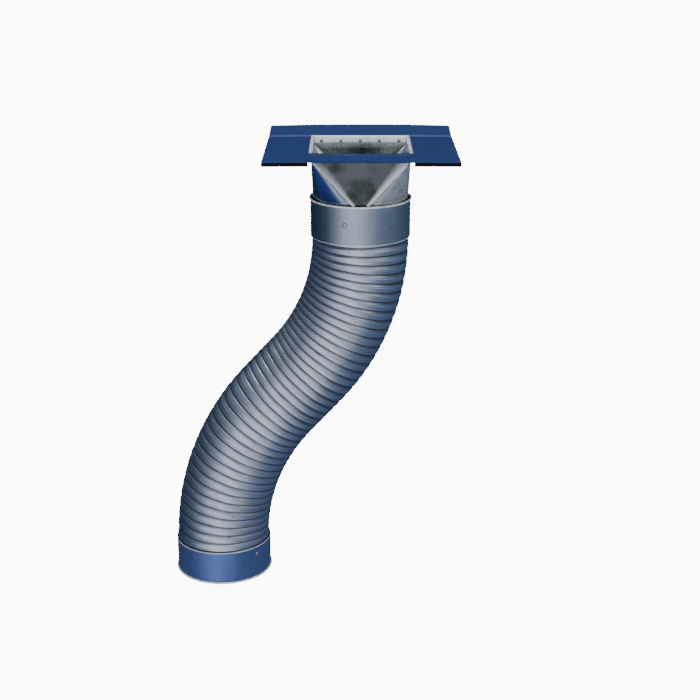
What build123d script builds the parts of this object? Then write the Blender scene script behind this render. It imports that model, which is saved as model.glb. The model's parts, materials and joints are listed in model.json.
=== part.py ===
from build123d import *
import os
from math import cos, degrees, radians, sin, sqrt, tan

os.makedirs("parts", exist_ok=True)

# A roof or deck vent adaptor: a folded flange plate, a square-to-round throat, a plain
# collar, an S-bent semi-rigid corrugated duct and a plain outlet collar, all sheet metal.
# Frame: the origin is the middle of the throat opening in the plane of the flange's
# underside, +Z is up, +X is away from the duct's offset, and the duct bends in the XZ plane.

# ---------------------------------------------------------------- driving dimensions, mm
# Sheet thicknesses and clearances
plate_sheet = 0.8
throat_sheet = 0.8
collar_sheet = 0.8
duct_sheet = 0.6
seat_gap = 0.05
moving_gap = 0.4

# Flange plate: a flat front part, and a back strip folded up along X
plate_width = 236.5
plate_front = 113.0
back_strip = 54.0
fold_angle = 6.5
fold_setback = 0.6
front_lip = 6.0
front_lip_bend = 1.6
lip_notch_margin = 2.5
opening_turn_down = 9.0

# Throat: a straight square neck, four flat triangles with four cone corners, a round end
neck_side = 120.7
neck_depth = 11.0
neck_corner = 2.5
neck_rim = 3.0
throat_height = 71.0
throat_round_length = 12.0
crease_meeting = 6.0
seam_lap = 8.0
seam_anchor = 4.0
seam_end_margin = 2.0

# Top collar, with a bead rolled outwards at its top edge, which clears the throat's corners
collar_clearance = 0.8
throat_collar_gap = 0.6
top_collar_height = 50.0
bead_radius = 1.3
bead_stand = 0.6

# Spigot band round the throat's round end, and the duct's end over it
spigot_clearance = 0.2
spigot_length = 30.0
spigot_drop = 1.5
duct_end_drop = 7.5

# Corrugated duct: an S of two bends with a straight run between them
duct_diameter = 123.8
rib_height = 1.1
groove_width = 2.0
upper_lead = 4.0
upper_radius = 260.0
middle_run = 55.6
lower_radius = 290.0
bend_angle = 43.0
hinges_per_bend = 6
ribs_per_section = 3
middle_ribs = 8
upper_end_ribs = 2
lower_end_ribs = 2
extra_bend = 17.0
lip_lap = 2.5
lip_web = 2.0

# Outlet collar, hemmed inwards where it holds the duct and with a bead rolled outwards at its
# bottom edge, and its backing sleeve
outlet_height = 45.0
duct_in_outlet = 20.0
sleeve_start = 2.0
hem_margin = 0.5

# Rivets
collar_rivet_shank = 1.6
collar_rivet_head = 3.3
collar_rivet_rise = 1.3
collar_rivet_tail = 2.4
neck_rivet_shank = 1.2
neck_rivet_head = 2.3
neck_rivet_rise = 0.8
neck_rivet_tail = 1.8
tail_height = 0.8
tail_taper = 0.8
dome_rise_share = 0.78
dome_reach_share = 0.6
rivet_gap = 0.05
seam_tail_room = 0.2
neck_rivet_margin = 10.35
neck_rivet_depth = 4.8
seam_rivet_rows = 3
top_rivet_drop = 5.0
top_rivet_angle = -108.0
outlet_rivet_angle = -42.0
rivets_per_collar = 3

# ---------------------------------------------------------------- worked-out sizes
crest_radius = duct_diameter / 2
groove_radius = crest_radius - rib_height
duct_inner = groove_radius - duct_sheet
ball_radius = duct_inner - moving_gap
collar_inner = crest_radius + collar_clearance
collar_outer = collar_inner + collar_sheet
spigot_outer = duct_inner - spigot_clearance
spigot_inner = spigot_outer - collar_sheet
throat_radius = spigot_inner - seat_gap
neck_half = neck_side / 2
fold_y = neck_half + neck_rim + fold_setback
opening_half = neck_half + seat_gap
hem_inner = collar_inner - collar_sheet
hem_depth = sleeve_start + duct_in_outlet + hem_margin

# Heights, all measured down from the plate's underside
corner_reach = (neck_half - neck_corner) * sqrt(2) + neck_corner
corner_taper = (corner_reach - throat_radius) / (throat_height - neck_depth)
collar_top = throat_height - (collar_inner - throat_collar_gap - throat_radius) / corner_taper
collar_bottom = collar_top + top_collar_height
spigot_top = throat_height + spigot_drop
duct_in_top_collar = collar_bottom - spigot_top - duct_end_drop
top_rivet_height = throat_height + throat_round_length + top_rivet_drop
lap_top = neck_depth + seam_end_margin
lap_bottom = collar_top - bead_radius - seam_end_margin

# Rivet pitches and grips
side_lean = (neck_half - throat_radius) / (throat_height - neck_depth)
neck_rivet_pitch = (neck_side - 2 * neck_rivet_margin) / 4
seam_rivet_pitch = (lap_bottom - lap_top) / seam_rivet_rows
curve_room = spigot_inner - sqrt(spigot_inner**2 - collar_rivet_tail**2)
neck_grip = throat_sheet + seat_gap + plate_sheet
seam_lean_room = abs(side_lean) * (neck_rivet_head + neck_rivet_tail) + seat_gap
seam_grip = 2 * throat_sheet + seat_gap + seam_lean_room + seam_tail_room
collar_grip = collar_outer - spigot_inner + curve_room + rivet_gap
rivet_reach = 2 * collar_grip

bend_step = bend_angle / hinges_per_bend
extra_step = extra_bend / hinges_per_bend
upper_reach = upper_radius * tan(radians(bend_step / 2))
lower_reach = lower_radius * tan(radians(bend_step / 2))


def finish(part, name):
    """Label a finished piece and write it as one STEP."""
    part.label = name
    export_step(part, f"parts/{name}.step")


def rivet(plane, grip, head, rise, shank, tail):
    """One rivet: its head stands on the plane's origin along the plane's X, its tail is a grip away."""
    foot = -grip - tail_height
    with BuildSketch(plane) as profile:
        with BuildLine():
            ThreePointArc((rise, 0), (rise * dome_rise_share, head * dome_reach_share), (0, head))
            Line((0, head), (0, shank))
            Line((0, shank), (-grip, shank))
            Line((-grip, shank), (-grip, tail))
            Line((-grip, tail), (foot, tail * tail_taper))
            Line((foot, tail * tail_taper), (foot, 0))
            Line((foot, 0), (rise, 0))
        make_face()
    revolve(profile.sketch, axis=Axis(plane.origin, plane.x_dir))


def collar_rivet_planes(centre_x, height, first_angle):
    """The planes of the rivets round a collar, each with its X pointing outwards."""
    planes = []
    for number in range(rivets_per_collar):
        angle = radians(first_angle + number * 360 / rivets_per_collar)
        outward = Vector(cos(angle), sin(angle), 0)
        origin = Vector(centre_x, 0, height) + outward * collar_outer
        planes.append(Plane(origin=origin, x_dir=outward, z_dir=(0, 0, 1)))
    return planes


def cut_rivet_holes(planes, radius, depth):
    """Drill a hole inwards, and as far outwards, at each rivet plane's origin."""
    for plane in planes:
        drill = Plane(origin=plane.origin, z_dir=plane.x_dir)
        with BuildSketch(drill.offset(-depth)) as hole:
            Circle(radius + rivet_gap)
        extrude(hole.sketch, amount=2 * depth, mode=Mode.SUBTRACT)


# ---------------------------------------------------------------- throat
def throat_envelope(grow):
    """The throat's outer form from the plate's top down to its round end, grown all round."""
    half = neck_half + grow
    radius = throat_radius + grow
    corner = neck_corner + grow
    flat = degrees(crease_meeting / throat_radius)
    with BuildPart() as envelope:
        with BuildSketch(Plane.XY.offset(plate_sheet)):
            RectangleRounded(2 * half, 2 * half, corner)
        extrude(amount=-(neck_depth + plate_sheet))
        with BuildSketch(Plane.XY.offset(-neck_depth)):
            with BuildLine():
                for side in range(4):
                    turn = Rotation(0, 0, 90 * side)
                    reach = half - corner
                    flat_start = (turn * Pos(half, -reach)).position
                    flat_end = (turn * Pos(half, reach)).position
                    next_start = (turn * Pos(reach, half)).position
                    Line(flat_start, flat_end)
                    RadiusArc(flat_end, next_start, -corner)
            make_face()
        with BuildSketch(Plane.XY.offset(-throat_height)):
            with BuildLine():
                for side in range(4):
                    CenterArc((0, 0), radius, 90 * side - flat / 2, flat)
                    CenterArc((0, 0), radius, 90 * side + flat / 2, 90 - flat)
            make_face()
        loft(ruled=True)
        with BuildSketch(Plane.XY.offset(-throat_height)):
            Circle(radius)
        extrude(amount=-throat_round_length)
    return envelope.part


def neck_rivet_planes():
    """Planes on the neck's inner walls, each with its X pointing into the throat."""
    inner = neck_half - throat_sheet
    planes = []
    for side in range(4):
        outward = Vector(cos(radians(90 * side)), sin(radians(90 * side)), 0)
        along = Vector(-outward.Y, outward.X, 0)
        steps = (-2, -1, 0, 1, 2) if side % 2 else (-2, -1, 1, 2)
        for step in steps:
            origin = outward * inner + along * (step * neck_rivet_pitch) + Vector(0, 0, -neck_rivet_depth)
            planes.append(Plane(origin=origin, x_dir=-outward, z_dir=(0, 0, 1)))
    return planes


def seam_rivet_planes():
    """Planes on the outside of the two side laps, each with its X pointing outwards."""
    lap_face = neck_half + seat_gap + throat_sheet + abs(side_lean) * neck_rivet_head + seat_gap
    planes = []
    for side in (-1, 1):
        for row in range(seam_rivet_rows):
            height = lap_top + (row + 0.5) * seam_rivet_pitch
            seat = lap_face - side_lean * (height - neck_depth)
            origin = (side * seat, seam_lap / 2, -height)
            planes.append(Plane(origin=origin, x_dir=(side, 0, 0), z_dir=(0, 0, 1)))
    return planes


def lap_block(low_y, high_y):
    """A box round the two side seams, from just under the neck to just above the collar."""
    with BuildPart() as block:
        with BuildSketch(Plane.XY.offset(-lap_bottom)):
            with Locations((0, (low_y + high_y) / 2)):
                Rectangle(2 * neck_side, high_y - low_y)
        extrude(amount=lap_bottom - lap_top)
    return block.part


with BuildPart() as throat_shell:
    add(throat_envelope(0))
    add(throat_envelope(-throat_sheet), mode=Mode.SUBTRACT)
    with BuildSketch(Plane.XY.offset(plate_sheet)):
        RectangleRounded(neck_side + 2 * neck_rim, neck_side + 2 * neck_rim, neck_corner + neck_rim)
        RectangleRounded(
            neck_side - 2 * throat_sheet,
            neck_side - 2 * throat_sheet,
            neck_corner - throat_sheet,
            mode=Mode.SUBTRACT,
        )
    extrude(amount=throat_sheet)
    cut_rivet_holes(neck_rivet_planes(), neck_rivet_shank, 2 * neck_grip)

with BuildPart() as throat_rear_half:
    add(throat_shell.part)
    split(bisect_by=Plane.XZ, keep=Keep.BOTTOM)
    cut_rivet_holes(seam_rivet_planes(), neck_rivet_shank, 2 * seam_grip)
finish(throat_rear_half.part, "throat_rear_half")

lap_outside = throat_envelope(seat_gap + throat_sheet)
lap_over_rear = lap_outside - throat_envelope(seat_gap)
lap_on_front = lap_outside - throat_envelope(-throat_sheet / 2)
with BuildPart() as throat_front_half:
    add(throat_shell.part)
    split(bisect_by=Plane.XZ, keep=Keep.TOP)
    add(lap_over_rear & lap_block(-seam_anchor, seam_lap))
    add(lap_on_front & lap_block(-seam_anchor, 0))
    cut_rivet_holes(seam_rivet_planes(), neck_rivet_shank, 2 * seam_grip)
finish(throat_front_half.part, "throat_front_half")

with BuildPart() as throat_seam_rivets:
    for plane in seam_rivet_planes():
        rivet(plane, seam_grip, neck_rivet_head, neck_rivet_rise, neck_rivet_shank, neck_rivet_tail)
finish(throat_seam_rivets.part, "throat_seam_rivets")

with BuildPart() as neck_rivets:
    for plane in neck_rivet_planes():
        rivet(plane, neck_grip, neck_rivet_head, neck_rivet_rise, neck_rivet_shank, neck_rivet_tail)
finish(neck_rivets.part, "neck_rivets")

# ---------------------------------------------------------------- flange plate
with BuildPart() as flange_plate:
    rise = sin(radians(fold_angle))
    run = cos(radians(fold_angle))
    fold_top = fold_y - plate_sheet * tan(radians(fold_angle / 2))
    with BuildSketch(Plane.YZ.offset(-plate_width / 2)) as section:
        with BuildLine():
            Polyline(
                (-plate_front, -front_lip),
                (-plate_front, plate_sheet),
                (fold_top, plate_sheet),
                (fold_y + back_strip * run - plate_sheet * rise, back_strip * rise + plate_sheet * run),
                (fold_y + back_strip * run, back_strip * rise),
                (fold_y, 0),
                (plate_sheet - plate_front, 0),
                (plate_sheet - plate_front, -front_lip),
                close=True,
            )
        make_face()
        bend = section.vertices().group_by(Axis.X)[0].sort_by(Axis.Y)[-1]
        fillet(bend, front_lip_bend)
        inside = section.vertices().filter_by_position(Axis.Y, -0.01, 0.01).sort_by(Axis.X)[0]
        fillet(inside, front_lip_bend - plate_sheet)
    extrude(amount=plate_width)
    with BuildSketch(Plane.XY.offset(-opening_turn_down)):
        outer_half = opening_half + plate_sheet
        RectangleRounded(2 * outer_half, 2 * outer_half, neck_corner + seat_gap + plate_sheet)
    extrude(amount=opening_turn_down)
    with BuildSketch(Plane.XY.offset(-opening_turn_down)):
        RectangleRounded(2 * opening_half, 2 * opening_half, neck_corner + seat_gap)
    extrude(amount=opening_turn_down + 2 * plate_sheet, mode=Mode.SUBTRACT)
    with BuildSketch(Plane.XY.offset(-front_lip)):
        with Locations((0, -plate_front)):
            Rectangle(neck_side + 2 * lip_notch_margin, 2 * front_lip_bend)
    extrude(amount=front_lip + 2 * plate_sheet, mode=Mode.SUBTRACT)
    cut_rivet_holes(neck_rivet_planes(), neck_rivet_shank, 2 * neck_grip)
finish(flange_plate.part, "flange_plate")

# ---------------------------------------------------------------- top collar and spigot
top_rivet_planes = collar_rivet_planes(0, -top_rivet_height, top_rivet_angle)

with BuildPart() as top_collar:
    with BuildSketch(Plane.XZ):
        with Locations((collar_inner, -collar_bottom)):
            Rectangle(collar_sheet, top_collar_height - bead_radius, align=(Align.MIN, Align.MIN))
        with Locations((collar_outer + bead_stand, -collar_top - bead_radius)):
            Circle(bead_radius)
    revolve(axis=Axis.Z)
    cut_rivet_holes(top_rivet_planes, collar_rivet_shank, rivet_reach)
finish(top_collar.part, "top_collar")

with BuildPart() as spigot_band:
    with BuildSketch(Plane.XY.offset(-spigot_top - spigot_length)):
        Circle(spigot_outer)
        Circle(spigot_inner, mode=Mode.SUBTRACT)
    extrude(amount=spigot_length)
    cut_rivet_holes(top_rivet_planes, collar_rivet_shank, rivet_reach)
finish(spigot_band.part, "spigot_band")

with BuildPart() as top_collar_rivets:
    for plane in top_rivet_planes:
        rivet(
            plane,
            collar_grip,
            collar_rivet_head,
            collar_rivet_rise,
            collar_rivet_shank,
            collar_rivet_tail,
        )
finish(top_collar_rivets.part, "top_collar_rivets")


# ---------------------------------------------------------------- corrugated duct
def corrugation(length, ribs, cuff_in, cuff_out):
    """Draw one wall of ribs between two half grooves, radius along X and length along Y.

    A cuff is a plain stretch at groove depth before the ribs or after them.
    """
    pitch = length / ribs
    land = groove_width / 2
    walls = ((groove_radius, crest_radius), (duct_inner, crest_radius - duct_sheet))
    with BuildLine() as wall:
        for low, high in walls:
            Line((low, -cuff_in), (low, land))
            for rib in range(ribs):
                foot = rib * pitch + land
                head = (rib + 1) * pitch - land
                ThreePointArc((low, foot), (high, (foot + head) / 2), (low, head))
                if rib < ribs - 1:
                    Line((low, head), (low, head + groove_width))
            Line((low, length - land), (low, length + cuff_out))
        Line((groove_radius, -cuff_in), (duct_inner, -cuff_in))
        Line((groove_radius, length + cuff_out), (duct_inner, length + cuff_out))
    make_face(wall.edges())


def duct_section(start, heading, length, ribs, turn_in, turn_out):
    """One stretch of duct along its own straight axis.

    turn_in and turn_out are the bends at its two hinges, +1 towards -X, -1 back, and 0 for a
    plain end. A hinge end is cut back so that the joint can straighten and bend further, and
    the lower one carries a lip on a sphere about the hinge, which slides inside the next
    section.
    """
    along = Vector(-sin(radians(heading)), 0, -cos(radians(heading)))
    across = Vector(cos(radians(heading)), 0, -sin(radians(heading)))
    most = radians(bend_step + extra_step)
    lean = tan(most / 2) / 2
    setback = crest_radius * lean + moving_gap / 2
    with BuildPart() as section:
        with BuildSketch(Plane(origin=start, x_dir=across, z_dir=(0, 1, 0))):
            corrugation(length, ribs, 0 if turn_in else duct_in_top_collar, 0 if turn_out else duct_in_outlet)
        revolve(axis=Axis(start, along))
        if turn_in:
            split(
                bisect_by=Plane(origin=start + along * setback, z_dir=along + across * (turn_in * lean)),
                keep=Keep.TOP,
            )
        if turn_out:
            hinge = start + along * length
            split(
                bisect_by=Plane(origin=hinge - along * setback, z_dir=along - across * (turn_out * lean)),
                keep=Keep.BOTTOM,
            )
            reach = crest_radius * sin(most) + moving_gap / 2 + lip_lap
            foot = length / ribs + lip_web / 2
            with BuildSketch(Plane(origin=hinge, x_dir=across, z_dir=(0, 1, 0))):
                Circle(ball_radius)
                Circle(ball_radius - duct_sheet, mode=Mode.SUBTRACT)
                with Locations((0, (reach - foot) / 2)):
                    Rectangle(2 * ball_radius, reach + foot, mode=Mode.INTERSECT)
                with Locations((groove_radius - duct_sheet / 2, lip_web / 2 - foot)):
                    Rectangle(4 * duct_sheet + moving_gap, lip_web, align=(Align.MAX, Align.CENTER))
                with Locations((-2 * collar_outer, 0)):
                    Rectangle(4 * collar_outer, 4 * collar_outer, mode=Mode.SUBTRACT)
            revolve(axis=Axis(hinge, along))
    return section.part


def walk():
    """List the duct's sections from the top collar down: name, start, heading, length and ends."""
    runs = [("duct_upper_end", upper_lead + upper_reach, upper_end_ribs)]
    for number in range(1, hinges_per_bend):
        runs.append((f"duct_upper_section_{number}", 2 * upper_reach, ribs_per_section))
    runs.append(("duct_middle_section", upper_reach + middle_run + lower_reach, middle_ribs))
    for number in range(1, hinges_per_bend):
        runs.append((f"duct_lower_section_{number}", 2 * lower_reach, ribs_per_section))
    runs.append(("duct_lower_end", lower_reach, lower_end_ribs))
    turns = [0] + [1] * hinges_per_bend + [-1] * hinges_per_bend + [0]
    point = Vector(0, 0, -collar_bottom)
    heading = 0.0
    sections = []
    for number, (name, length, ribs) in enumerate(runs):
        turn_in = turns[number]
        turn_out = turns[number + 1]
        heading += turn_in * bend_step
        sections.append((name, point, heading, length, ribs, turn_in, turn_out))
        point = point + Vector(-sin(radians(heading)), 0, -cos(radians(heading))) * length
    return sections, point


duct_sections, duct_foot = walk()
outlet_x = duct_foot.X
outlet_top = duct_foot.Z
outlet_rivet_planes = collar_rivet_planes(outlet_x, outlet_top - duct_in_outlet / 2, outlet_rivet_angle)

for name, start, heading, length, ribs, turn_in, turn_out in duct_sections:
    with BuildPart() as duct_piece:
        add(duct_section(start, heading, length, ribs, turn_in, turn_out))
        if not turn_in:
            cut_rivet_holes(top_rivet_planes, collar_rivet_shank, rivet_reach)
        if not turn_out:
            cut_rivet_holes(outlet_rivet_planes, collar_rivet_shank, rivet_reach)
    finish(duct_piece.part, name)

# ---------------------------------------------------------------- outlet collar
with BuildPart() as outlet_collar:
    bottom = outlet_top - outlet_height
    with BuildSketch(Plane(origin=(outlet_x, 0, 0), x_dir=(1, 0, 0), z_dir=(0, -1, 0))):
        with Locations((collar_inner, bottom + bead_radius)):
            Rectangle(collar_sheet, outlet_height - bead_radius, align=(Align.MIN, Align.MIN))
        with Locations((hem_inner, outlet_top - hem_depth)):
            Rectangle(2 * collar_sheet, hem_depth, align=(Align.MIN, Align.MIN))
        with Locations((collar_outer + bead_stand, bottom + bead_radius)):
            Circle(bead_radius)
    revolve(axis=Axis((outlet_x, 0, 0), (0, 0, 1)))
    cut_rivet_holes(outlet_rivet_planes, collar_rivet_shank, rivet_reach)
finish(outlet_collar.part, "outlet_collar")

with BuildPart() as outlet_sleeve:
    with BuildSketch(Plane(origin=(outlet_x, 0, outlet_top - sleeve_start - duct_in_outlet))):
        Circle(spigot_outer)
        Circle(spigot_inner, mode=Mode.SUBTRACT)
    extrude(amount=duct_in_outlet)
    cut_rivet_holes(outlet_rivet_planes, collar_rivet_shank, rivet_reach)
finish(outlet_sleeve.part, "outlet_sleeve")

with BuildPart() as outlet_collar_rivets:
    for plane in outlet_rivet_planes:
        rivet(
            plane,
            collar_grip,
            collar_rivet_head,
            collar_rivet_rise,
            collar_rivet_shank,
            collar_rivet_tail,
        )
finish(outlet_collar_rivets.part, "outlet_collar_rivets")
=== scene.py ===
"""Visual model of a flanged vent duct adaptor: flange plate, throat, collars and corrugated duct."""

import json
import logging
from dataclasses import dataclass, field
from enum import Enum
from functools import cache
from math import atan2, cos, hypot, pi, radians, sin, tan
from typing import Callable, Iterable, Sequence

import bmesh
import bpy
from bmesh.types import BMEdge, BMesh, BMFace, BMVert
from bpy.types import ID, Material, Node, NodeSocket, NodeTree, Object
from mathutils import Matrix, Vector, noise

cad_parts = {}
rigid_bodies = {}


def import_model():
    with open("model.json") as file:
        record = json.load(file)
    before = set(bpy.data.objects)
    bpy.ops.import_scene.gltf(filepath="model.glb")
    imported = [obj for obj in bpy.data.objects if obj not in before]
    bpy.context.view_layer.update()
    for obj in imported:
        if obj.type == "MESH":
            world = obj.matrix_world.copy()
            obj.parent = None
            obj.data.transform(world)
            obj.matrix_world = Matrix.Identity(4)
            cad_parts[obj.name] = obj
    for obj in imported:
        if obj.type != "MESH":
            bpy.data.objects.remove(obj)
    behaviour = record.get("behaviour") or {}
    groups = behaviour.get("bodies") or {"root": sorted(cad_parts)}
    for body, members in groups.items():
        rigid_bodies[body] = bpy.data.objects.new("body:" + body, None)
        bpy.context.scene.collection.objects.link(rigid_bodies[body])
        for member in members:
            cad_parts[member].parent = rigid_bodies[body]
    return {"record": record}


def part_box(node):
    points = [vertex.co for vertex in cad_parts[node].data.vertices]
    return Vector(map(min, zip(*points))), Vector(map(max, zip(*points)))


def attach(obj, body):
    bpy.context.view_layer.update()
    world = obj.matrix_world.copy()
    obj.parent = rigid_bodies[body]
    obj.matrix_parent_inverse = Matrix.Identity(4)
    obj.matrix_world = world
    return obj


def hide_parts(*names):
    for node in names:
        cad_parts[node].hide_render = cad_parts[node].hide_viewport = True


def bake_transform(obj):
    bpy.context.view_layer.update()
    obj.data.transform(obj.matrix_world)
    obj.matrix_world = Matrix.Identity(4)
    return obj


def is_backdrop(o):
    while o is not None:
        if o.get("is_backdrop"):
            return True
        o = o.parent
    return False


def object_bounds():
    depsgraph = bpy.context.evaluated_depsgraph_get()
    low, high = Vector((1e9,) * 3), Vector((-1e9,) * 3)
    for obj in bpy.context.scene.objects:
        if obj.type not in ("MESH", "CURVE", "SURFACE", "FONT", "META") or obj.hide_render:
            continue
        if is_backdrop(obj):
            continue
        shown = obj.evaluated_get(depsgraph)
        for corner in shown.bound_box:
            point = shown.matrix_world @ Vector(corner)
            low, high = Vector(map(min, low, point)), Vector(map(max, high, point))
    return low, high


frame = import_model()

LOG = logging.getLogger("vent_duct")
MM = 0.001
SHARP_ANGLE = radians(50)


# ------------------------------------------------------------------ node tree helpers
class Tree:
    """A short way to add and join nodes in one node tree."""

    def __init__(self, tree: NodeTree) -> None:
        """Keep the tree that nodes are added to."""
        self.tree = tree

    def node(self, kind: str, **settings: object) -> Node:
        """Add a node.

        Args:
            kind: the node's type name.
            settings: properties to set on it.

        Returns:
            The new node.
        """
        made = self.tree.nodes.new(kind)
        for name, value in settings.items():
            setattr(made, name, value)
        return made

    def feed(self, target: NodeSocket, source: object) -> None:
        """Join a socket to another, or set its value."""
        if isinstance(source, NodeSocket):
            self.tree.links.new(source, target)
        else:
            target.default_value = source

    def math(self, operation: str, *values: object, clamp: bool = False) -> NodeSocket:
        """Add a Math node and return its output."""
        made = self.node("ShaderNodeMath", operation=operation, use_clamp=clamp)
        for number, value in enumerate(values):
            self.feed(made.inputs[number], value)
        return made.outputs[0]

    def mix(self, factor: object, first: object, second: object, blend: str = "MIX") -> NodeSocket:
        """Add a colour Mix node and return its colour."""
        made = self.node("ShaderNodeMix", data_type="RGBA", blend_type=blend, clamp_factor=True)
        self.feed(made.inputs["Factor"], factor)
        self.feed(made.inputs[6], first)
        self.feed(made.inputs[7], second)
        return made.outputs[2]

    def remap(self, value: object, low: float, high: float, to_low: float, to_high: float) -> NodeSocket:
        """Map one range onto another, smoothly and clamped."""
        made = self.node("ShaderNodeMapRange", interpolation_type="SMOOTHSTEP")
        for number, item in enumerate((value, low, high, to_low, to_high)):
            self.feed(made.inputs[number], item)
        return made.outputs[0]

    def noise(self, vector: object, scale: object, detail: float, rough: float = 0.5) -> NodeSocket:
        """Add a Noise Texture and return its value."""
        made = self.node("ShaderNodeTexNoise")
        self.feed(made.inputs["Vector"], vector)
        self.feed(made.inputs["Scale"], scale)
        made.inputs["Detail"].default_value = detail
        made.inputs["Roughness"].default_value = rough
        return made.outputs["Fac"]

    def grey(self, value: NodeSocket) -> NodeSocket:
        """Turn a number into a grey colour."""
        made = self.node("ShaderNodeCombineColor")
        for number in range(3):
            self.feed(made.inputs[number], value)
        return made.outputs[0]

    def group(self, tree: NodeTree, **values: object) -> Node:
        """Place a node group and feed its inputs by name, with _ for a space."""
        made = self.node("ShaderNodeGroup", node_tree=tree)
        for name, value in values.items():
            self.feed(made.inputs[name.replace("_", " ")], value)
        return made


def new_group(name: str, inputs: Sequence[tuple], outputs: Sequence[tuple]) -> tuple[Tree, Node, Node]:
    """Start a shader node group.

    Args:
        name: the group's name.
        inputs: (name, socket type, default) of each input.
        outputs: (name, socket type) of each output.

    Returns:
        The tree, its input node and its output node.
    """
    made = bpy.data.node_groups.new(name, "ShaderNodeTree")
    for label, kind, default in inputs:
        socket = made.interface.new_socket(name=label, in_out="INPUT", socket_type=kind)
        if default is not None:
            socket.default_value = default
    for label, kind in outputs:
        made.interface.new_socket(name=label, in_out="OUTPUT", socket_type=kind)
    tree = Tree(made)
    return tree, tree.node("NodeGroupInput"), tree.node("NodeGroupOutput")


class Surface:
    """The surface effects that several finishes share, each a node group built once."""

    @staticmethod
    @cache
    def rolled_grain() -> NodeTree:
        """Fine lines left by rolling, stretched along one axis of the vector that is fed in."""
        tree, start, end = new_group(
            "rolled_grain",
            (("Vector", "NodeSocketVector", None), ("Scale", "NodeSocketFloat", 400.0)),
            (("Lines", "NodeSocketFloat"), ("Broad", "NodeSocketFloat")),
        )
        vector = start.outputs["Vector"]
        scale = start.outputs["Scale"]
        fine = tree.noise(vector, scale, 3.0, 0.65)
        broad = tree.noise(vector, tree.math("MULTIPLY", scale, 0.22), 2.0)
        tree.feed(end.inputs["Lines"], tree.remap(fine, 0.3, 0.7, 0.0, 1.0))
        tree.feed(end.inputs["Broad"], tree.remap(broad, 0.3, 0.7, 0.0, 1.0))
        return tree.tree

    @staticmethod
    @cache
    def handling_marks() -> NodeTree:
        """Soft smudges and a few small spots, as on sheet that has been handled."""
        tree, start, end = new_group(
            "handling_marks",
            (("Vector", "NodeSocketVector", None), ("Scale", "NodeSocketFloat", 14.0)),
            (("Smudge", "NodeSocketFloat"), ("Spots", "NodeSocketFloat")),
        )
        vector = start.outputs["Vector"]
        scale = start.outputs["Scale"]
        cloud = tree.noise(vector, scale, 4.0, 0.6)
        spots = tree.noise(vector, tree.math("MULTIPLY", scale, 9.0), 2.0, 0.5)
        tree.feed(end.inputs["Smudge"], tree.remap(cloud, 0.38, 0.68, 0.0, 1.0))
        tree.feed(end.inputs["Spots"], tree.remap(spots, 0.66, 0.74, 0.0, 1.0))
        return tree.tree

    @staticmethod
    @cache
    def edge_highlight_and_wear() -> NodeTree:
        """Painted highlight, with some wear: brightens the colour where the sheet is creased, rolled or
        cut, broken up by noise.
        """
        tree, start, end = new_group(
            "edge_highlight_and_wear",
            (
                ("Vector", "NodeSocketVector", None),
                ("Mask", "NodeSocketFloat", 0.0),
                ("Colour", "NodeSocketColor", (0.5, 0.5, 0.5, 1.0)),
                ("Bright", "NodeSocketColor", (0.9, 0.9, 0.92, 1.0)),
            ),
            (("Colour", "NodeSocketColor"), ("Mask", "NodeSocketFloat")),
        )
        breakup = tree.remap(tree.noise(start.outputs["Vector"], 160.0, 3.0), 0.25, 0.6, 0.65, 1.0)
        mask = tree.math("MULTIPLY", start.outputs["Mask"], breakup, clamp=True)
        tree.feed(end.inputs["Colour"], tree.mix(mask, start.outputs["Colour"], start.outputs["Bright"]))
        tree.feed(end.inputs["Mask"], mask)
        return tree.tree


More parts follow.
